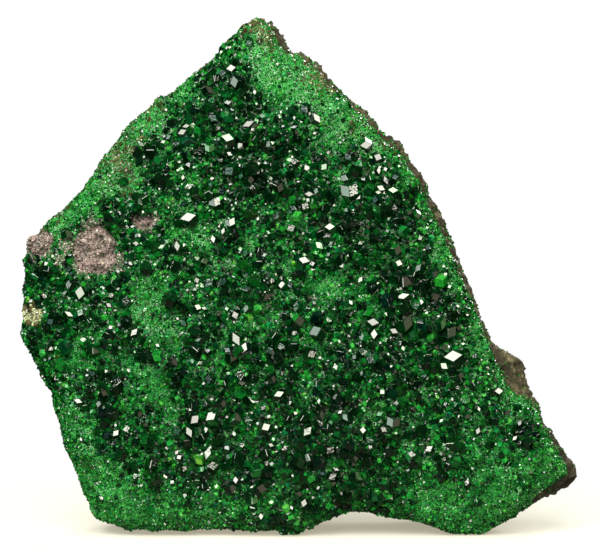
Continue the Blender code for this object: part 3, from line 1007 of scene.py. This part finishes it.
# %% Scatter stray garnets over the rock
STRAYS_TO_A_SQUARE_MM = 38.0
STRAY_RADIUS = (0.12 * MM, 0.26 * MM)
STRAY_REACH = 0.9 * MM
STRAY_FADE = 0.8 * MM
REACH_NOISE = (1.4, 2.5 * MM)
ALL_STAY_WITHIN = 0.8
AWAY_FROM_THE_EDGE = 0.35
PATCHINESS = (1.6, 2.0 * MM)
STRAY_TINT = (0.5, 0.12)
STRAY_HUE = (0.3, 0.8)
STRAY_STAIN = (0.3, 0.2)
ON_THE_BACK = 3.0 * MM
COVERED_BY_CRUST = -0.6
LEFT_SHARE, RIGHT_SHARE = 1.0, 0.5
BACK_SPOTS = (
    (-12.0, 30.0, 6.0, 1.4),
    (-19.0, 41.0, 3.0, 1.2),
    (9.0, 22.0, 5.0, 1.0),
    (2.0, 47.0, 4.0, 1.4),
    (19.0, 14.0, 3.5, 1.0),
    (-20.0, 9.0, 3.0, 1.2),
)


def beside_the_crust(middles, normals):
    """The rock's edges and back, but not the front that the crust covers."""
    return normals[:, 1] > COVERED_BY_CRUST


spots, outward = draw_places(rock, beside_the_crust, STRAYS_TO_A_SQUARE_MM, draw)
crust = finder_of(corners_of(ground))
away = np.array([crust.find(spot)[2] for spot in spots])
reach = STRAY_REACH * broken_up(1, spots, REACH_NOISE)
chance = np.exp(-np.clip(away - reach, 0, None) / STRAY_FADE)
chance *= np.where(outward[:, 0] < 0, LEFT_SHARE, RIGHT_SHARE)
on_the_back = share_of(BACK_SPOTS, spots[:, 0] / MM, spots[:, 2] / MM)
chance += np.where(away > ON_THE_BACK, on_the_back, 0)
chance *= AWAY_FROM_THE_EDGE * np.clip(broken_up(0.5, spots, PATCHINESS), 0, 1)
chance[away < ALL_STAY_WITHIN * reach] = 1.0
strays = draw.random(len(spots)) < chance
spots, outward = spots[strays], outward[strays]
stray_radii = draw.uniform(*STRAY_RADIUS, len(spots))
stray_marks = {
    "tint": draw.normal(*STRAY_TINT, len(spots)),
    "hue": draw.uniform(*STRAY_HUE, len(spots)),
    "stain": np.clip(draw.normal(*STRAY_STAIN, len(spots)), 0, 1),
}
druses.append(
    grow("garnets_on_rock", garnet_tip, TIP_STRETCH, spots, stray_radii, stray_marks, draw)
)

# %% [markdown]
# ## Tools for the finishes
#
# A finish is a small graph of nodes that ends in the shader. The patterns read the object's own
# coordinates or the numbers on its faces, so they stay on the stone when it is turned.

# %% A finish and its nodes
WHITE = (1.0, 1.0, 1.0)


def new_finish(name, settings):
    """A material with its node tree and its shader. settings are the shader's own numbers."""
    finish = bpy.data.materials.new(name)
    finish.use_nodes = True
    shader = finish.node_tree.nodes["Principled BSDF"]
    for setting, number in settings.items():
        shader.inputs[setting].default_value = number
    return finish, finish.node_tree, shader


def add_node(tree, kind, **settings):
    """A new node of this kind, with these settings."""
    node = tree.nodes.new(kind)
    for name, value in settings.items():
        setattr(node, name, value)
    return node


def ramp_of(tree, source, stops):
    """A colour ramp fed by source. stops are (place, red, green, blue)."""
    ramp = add_node(tree, "ShaderNodeValToRGB")
    points = ramp.color_ramp.elements
    while len(points) < len(stops):
        points.new(0.5)
    for point, (place, red, green, blue) in zip(points, stops):
        point.position = place
        point.color = (red, green, blue, 1.0)
    tree.links.new(source, ramp.inputs["Fac"])
    return ramp.outputs["Color"]


def noise_of(tree, grain, detail, roughness=0.6):
    """Noise in the object's own coordinates, with lumps of this grain."""
    place = add_node(tree, "ShaderNodeTexCoord")
    lumps = add_node(tree, "ShaderNodeTexNoise")
    lumps.inputs["Scale"].default_value = 1 / grain
    lumps.inputs["Detail"].default_value = detail
    lumps.inputs["Roughness"].default_value = roughness
    tree.links.new(place.outputs["Object"], lumps.inputs["Vector"])
    return lumps.outputs["Fac"]


def attribute_of(tree, name):
    """The number that each face or corner carries under this name."""
    return add_node(tree, "ShaderNodeAttribute", attribute_name=name).outputs["Fac"]


def plain_colour(tree, colour):
    """One colour, as a socket."""
    node = add_node(tree, "ShaderNodeRGB")
    node.outputs[0].default_value = (*colour, 1.0)
    return node.outputs[0]


def smooth_step(tree, source, low, high, start=0.0):
    """Rises smoothly from start to 1 while source goes from low to high."""
    step = add_node(tree, "ShaderNodeMapRange", interpolation_type="SMOOTHSTEP")
    for name, number in (("From Min", low), ("From Max", high), ("To Min", start)):
        step.inputs[name].default_value = number
    tree.links.new(source, step.inputs["Value"])
    return step.outputs["Result"]


def sum_of(tree, first, second, share=1.0, less=0.0):
    """first plus a share of second, once less has been taken from second."""
    moved = add_node(tree, "ShaderNodeMath", operation="SUBTRACT")
    tree.links.new(second, moved.inputs[0])
    moved.inputs[1].default_value = less
    total = add_node(tree, "ShaderNodeMath", operation="MULTIPLY_ADD")
    tree.links.new(moved.outputs[0], total.inputs[0])
    total.inputs[1].default_value = share
    tree.links.new(first, total.inputs[2])
    return total.outputs[0]


def mixed(tree, share, first, second, blend="MIX"):
    """Two colour sockets mixed by share, which is a socket or a number."""
    mix = add_node(tree, "ShaderNodeMix", data_type="RGBA", blend_type=blend)
    if isinstance(share, float):
        mix.inputs["Factor"].default_value = share
    else:
        tree.links.new(share, mix.inputs["Factor"])
    tree.links.new(first, mix.inputs["A"])
    tree.links.new(second, mix.inputs["B"])
    return mix.outputs["Result"]


def mixed_shaders(tree, share, first, second):
    """Two shaders mixed by a socket."""
    mix = add_node(tree, "ShaderNodeMixShader")
    tree.links.new(share, mix.inputs["Fac"])
    tree.links.new(first, mix.inputs[1])
    tree.links.new(second, mix.inputs[2])
    return mix.outputs["Shader"]


def bump_by(tree, shader, height, distance):
    """Tilts the surface by the slope of height, which stands this far out where it is 1."""
    bump = add_node(tree, "ShaderNodeBump")
    bump.inputs["Distance"].default_value = distance
    tree.links.new(height, bump.inputs["Height"])
    tree.links.new(bump.outputs["Normal"], shader.inputs["Normal"])


print("finish tools ready")

# %% [markdown]
# ## Garnet
#
# Chromium makes uvarovite a pure, deep green. Thick crystals swallow most light and look almost
# black, thin ones glow. The tint picks a green from a ramp, fine noise inside it stands for the
# cracks and veils of a small crystal, and the hue turns it towards teal or olive. The faces are
# nearly perfect mirrors, with the high refractive index of garnet, and part of the light goes
# through. Growth hillocks too low to see still bend a reflection, so that a lamp fills a face
# unevenly. Dust is a second ramp that takes over where the third number is strong; its palest stop
# is a painted highlight, the pale cream of a cluster of glints.

# %% The finish of the crystals, with noise as (grain, detail, roughness)
GARNET_STOPS = (
    (0.00, 0.0006, 0.006, 0.0020),
    (0.28, 0.0012, 0.034, 0.0060),
    (0.50, 0.0030, 0.120, 0.0140),
    (0.70, 0.0110, 0.290, 0.0280),
    (1.00, 0.1000, 0.560, 0.0900),
)
HUE_STOPS = (
    (0.0, 0.6, 0.85, 2.4),
    (0.3, 0.9, 1.00, 1.1),
    (0.7, 1.1, 1.00, 0.85),
    (1.0, 2.2, 0.90, 0.6),
)
# Rock dust; the top stop is a painted highlight, the pale cream of a cluster of glints.
DUST_AND_GLINT_STOPS = (
    (0.45, 0.040, 0.046, 0.014),
    (0.62, 0.095, 0.082, 0.030),
    (0.85, 0.220, 0.185, 0.085),
    (1.00, 0.860, 0.880, 0.500),
)
DUST_AND_GLINT_FROM = (0.36, 0.52)
VEILS = (0.22 * MM, 4.0, 0.8)
VEIL_LIFT = 0.85
SPECKS = (0.14 * MM, 1.0)
SPECKS_FROM = (0.62, 0.74)
HILLOCKS = (0.35 * MM, 2.0)
HILLOCK_HEIGHT = 0.014 * MM
GARNET_IOR = 1.86
CLEARNESS = 0.3
CLEAR_ROUGHNESS, SUGAR_ROUGHNESS = 0.03, 0.13
CLEAR_SPECKS, SUGAR_SPECKS = 0.35, 0.5


def garnet_finish(name, roughness, speck_lift):
    """Green by tint and hue, with veils and specks in it, and dust where the third number is strong;
    its top is a painted pale highlight.
    """
    settings = {"Roughness": roughness, "IOR": GARNET_IOR, "Transmission Weight": CLEARNESS}
    finish, tree, shader = new_finish(name, settings)
    tint = sum_of(tree, attribute_of(tree, "tint"), noise_of(tree, *VEILS), VEIL_LIFT, 0.5)
    specks = smooth_step(tree, noise_of(tree, *SPECKS), *SPECKS_FROM)
    green = ramp_of(tree, sum_of(tree, tint, specks, speck_lift), GARNET_STOPS)
    green = mixed(tree, 1.0, green, ramp_of(tree, attribute_of(tree, "hue"), HUE_STOPS), "MULTIPLY")
    # Where this number is highest, the dust ramp paints a highlight of pale glints.
    stain = attribute_of(tree, "stain")
    dust_and_glint_share = smooth_step(tree, stain, *DUST_AND_GLINT_FROM)
    colour = mixed(tree, dust_and_glint_share, green, ramp_of(tree, stain, DUST_AND_GLINT_STOPS))
    tree.links.new(colour, shader.inputs["Base Color"])
    bump_by(tree, shader, noise_of(tree, *HILLOCKS), HILLOCK_HEIGHT)
    return finish


clear_garnet = garnet_finish("uvarovite crystals", CLEAR_ROUGHNESS, CLEAR_SPECKS)
sugary_garnet = garnet_finish("uvarovite sugar", SUGAR_ROUGHNESS, SUGAR_SPECKS)
for druse in druses:
    fine = druse.name.startswith(("garnet_sugar", "garnets_on_rock"))
    druse.data.materials.append(sugary_garnet if fine else clear_garnet)
print("garnet on", len(druses), "pieces")

# %% [markdown]
# ## The ground between the crystals
#
# The ground has to match what grows on it, dark in the pockets and bright under the sugar. The
# coarseness is worked out once more at each of its corners and kept there as a number, which the
# finish mixes with fine noise before it picks a green.

# %% The finish of the ground
GROUND_STOPS = (
    (0.10, 0.0008, 0.010, 0.0025),
    (0.40, 0.0020, 0.060, 0.0080),
    (0.65, 0.0080, 0.180, 0.0250),
    (0.90, 0.0500, 0.380, 0.0700),
)
GROUND_LUMPS = (0.3 * MM, 4.0)
GROUND_ROUGHNESS = 0.3
FINE_LIFT = 0.4


def mark_fineness(piece):
    """Keeps how fine the garnets are at each corner, from 0 to 1."""
    fineness = (1 - coarseness_at(corners_of(piece))).astype(np.float32)
    piece.data.attributes.new("fineness", "FLOAT", "POINT").data.foreach_set("value", fineness)
    print("ground fineness, mean:", round(float(fineness.mean()), 2))


def ground_finish():
    """A mottled green, brighter where the garnets are fine."""
    settings = {"Roughness": GROUND_ROUGHNESS, "IOR": GARNET_IOR}
    finish, tree, shader = new_finish("garnet ground", settings)
    fineness = attribute_of(tree, "fineness")
    level = sum_of(tree, noise_of(tree, *GROUND_LUMPS), fineness, FINE_LIFT, 0.4)
    tree.links.new(ramp_of(tree, level, GROUND_STOPS), shader.inputs["Base Color"])
    return finish


mark_fineness(ground)
ground.data.materials.append(ground_finish())

# %% [markdown]
# ## Rock and chlorite
#
# Broken chromite is a dark, brownish grey with lighter grains of other minerals in it, so fine noise
# picks among four browns. Its grains are smaller than the mesh, so a finer noise bumps the surface.
# Chlorite coloured by chromium is a dusty pink, with grey and greenish scales among the pink ones,
# so each scale takes its colour from its own number.

# %% The finishes of the rock and the chlorite
ROCK_STOPS = (
    (0.28, 0.008, 0.007, 0.004),
    (0.45, 0.032, 0.027, 0.013),
    (0.58, 0.080, 0.068, 0.032),
    (0.75, 0.250, 0.220, 0.115),
)
ROCK_SPECKLE = (0.8 * MM, 7.0, 0.8)
ROCK_PATCHES = (5.0 * MM, 3.0)
ROCK_BUMPS = (0.35 * MM, 4.0, 0.7)
ROCK_BUMP_HEIGHT = 0.25 * MM
ROCK_ROUGHNESS = 0.55
CHLORITE_STOPS = (
    (0.10, 0.020, 0.032, 0.016),
    (0.28, 0.070, 0.080, 0.050),
    (0.42, 0.200, 0.155, 0.125),
    (0.60, 0.350, 0.230, 0.235),
    (0.75, 0.260, 0.235, 0.175),
    (0.95, 0.560, 0.490, 0.400),
)
CHLORITE_CRUMBS = (0.4 * MM, 5.0, 0.8)
CHLORITE_ROUGHNESS = 0.4


def rock_finish():
    """Speckled browns in patches, with grains too small for the mesh."""
    finish, tree, shader = new_finish("chromite rock", {"Roughness": ROCK_ROUGHNESS})
    speckle = noise_of(tree, *ROCK_SPECKLE)
    level = sum_of(tree, speckle, noise_of(tree, *ROCK_PATCHES), 0.5, 0.5)
    tree.links.new(ramp_of(tree, level, ROCK_STOPS), shader.inputs["Base Color"])
    bump_by(tree, shader, noise_of(tree, *ROCK_BUMPS), ROCK_BUMP_HEIGHT)
    return finish


def chlorite_finish(name, source_of):
    """Dusty pinks and greys, picked by the socket that source_of makes."""
    finish, tree, shader = new_finish(name, {"Roughness": CHLORITE_ROUGHNESS})
    tree.links.new(ramp_of(tree, source_of(tree), CHLORITE_STOPS), shader.inputs["Base Color"])
    return finish


rock.data.materials.append(rock_finish())
lump_chlorite = chlorite_finish(
    "crumbled chlorite", lambda tree: noise_of(tree, *CHLORITE_CRUMBS)
)
for patch in patches:
    patch.data.materials.append(lump_chlorite)
scales.data.materials.append(
    chlorite_finish("chlorite scales", lambda tree: attribute_of(tree, "tint"))
)
print("finishes:", sorted(finish.name for finish in bpy.data.materials if finish.users))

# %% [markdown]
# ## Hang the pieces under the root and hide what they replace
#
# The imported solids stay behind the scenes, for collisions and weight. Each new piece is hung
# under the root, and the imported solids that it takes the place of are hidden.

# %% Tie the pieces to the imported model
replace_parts(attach(rock, "root"), "chromite_matrix")
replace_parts(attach(ground, "root"), "uvarovite_crust")
for druse in druses:
    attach(druse, "root")
for patch, node in zip(patches, CHLORITE_NODES):
    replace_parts(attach(patch, "root"), node)
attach(scales, "root")
triangles = sum(
    len(piece.data.loop_triangles) for piece in (rock, ground, scales, *druses, *patches)
)
print("triangles in all:", triangles)

# %% [markdown]
# ## The studio floor
#
# The specimen stands on a white card. Near the stone the card is a real surface that takes the
# shadow. Further out it fades to a plain glow, so that its edge doesn't show as a grey line. A little
# of that glow is painted light near the stone as well: it keeps the shadow pale and tints it, and the
# card round the foot, warm. The card lights the stone from below, but the facets mirror a darker
# one, because a white one would fill every facet with grey.

# %% Floor
FLOOR_RADIUS = 0.9
CARD_EDGE = (22 * MM, 60 * MM)
CARD_SEEN = (0.90, 0.88, 0.82)
CARD_MIRRORED = (0.10, 0.09, 0.07)
CARD_GLOW = 0.38
# Painted light: the glow near the stone is warm, which tints the floor's shadow and the card by the
# foot.
CARD_SHADOW_WARMTH = (1.0, 0.90, 0.50)
CARD_FINISH = {"Roughness": 0.8, "Specular IOR Level": 0.1}

bpy.ops.object.select_all(action="DESELECT")
bpy.ops.mesh.primitive_circle_add(
    vertices=96, radius=FLOOR_RADIUS, fill_type="NGON", location=(0, 0, 0)
)
floor = bpy.context.object
floor.name = "floor"
card, tree, shader = new_finish("white card", CARD_FINISH)
rays = add_node(tree, "ShaderNodeLightPath").outputs
seen = sum_of(tree, rays["Is Camera Ray"], rays["Is Diffuse Ray"])
base = mixed(tree, seen, plain_colour(tree, CARD_MIRRORED), plain_colour(tree, CARD_SEEN))
tree.links.new(base, shader.inputs["Base Color"])
place = add_node(tree, "ShaderNodeTexCoord")
from_middle = add_node(tree, "ShaderNodeVectorMath", operation="LENGTH")
tree.links.new(place.outputs["Object"], from_middle.inputs[0])
edge = smooth_step(tree, from_middle.outputs["Value"], *CARD_EDGE, CARD_GLOW)
glow = add_node(tree, "ShaderNodeEmission")
# Painted light: a warm glow near the stone, white further out.
shadow_warmth = mixed(tree, edge, plain_colour(tree, CARD_SHADOW_WARMTH), plain_colour(tree, WHITE))
tree.links.new(shadow_warmth, glow.inputs["Color"])
tree.links.new(rays["Is Camera Ray"], glow.inputs["Strength"])
both = mixed_shaders(tree, edge, shader.outputs["BSDF"], glow.outputs["Emission"])
tree.links.new(both, tree.nodes["Material Output"].inputs["Surface"])
floor.data.materials.append(card)
print("floor", round(2 * FLOOR_RADIUS, 2), "m across")

# %% [markdown]
# ## The sky
#
# The background is white to the camera. To the crystals it is nearly black, or it would lay grey
# over every facet, and it fills the shadows a little.

# %% Sky
SKY_MIRRORED = 0.02
SKY_FILL = 0.32

world = bpy.data.worlds.new("studio")
bpy.context.scene.world = world
world.use_nodes = True
tree = world.node_tree
tree.nodes.clear()
rays = add_node(tree, "ShaderNodeLightPath").outputs
skies = []
for strength in (SKY_MIRRORED, SKY_FILL, 1.0):
    sky = add_node(tree, "ShaderNodeBackground")
    sky.inputs["Color"].default_value = (*WHITE, 1.0)
    sky.inputs["Strength"].default_value = strength
    skies.append(sky.outputs["Background"])
mirrored, filling, white = skies
lighting = mixed_shaders(tree, rays["Is Diffuse Ray"], mirrored, filling)
whole_sky = mixed_shaders(tree, rays["Is Camera Ray"], lighting, white)
output = add_node(tree, "ShaderNodeOutputWorld")
tree.links.new(whole_sky, output.inputs["Surface"])
bpy.context.scene.view_settings.view_transform = "Standard"
print("sky mirrored at", SKY_MIRRORED, "and lighting at", SKY_FILL)
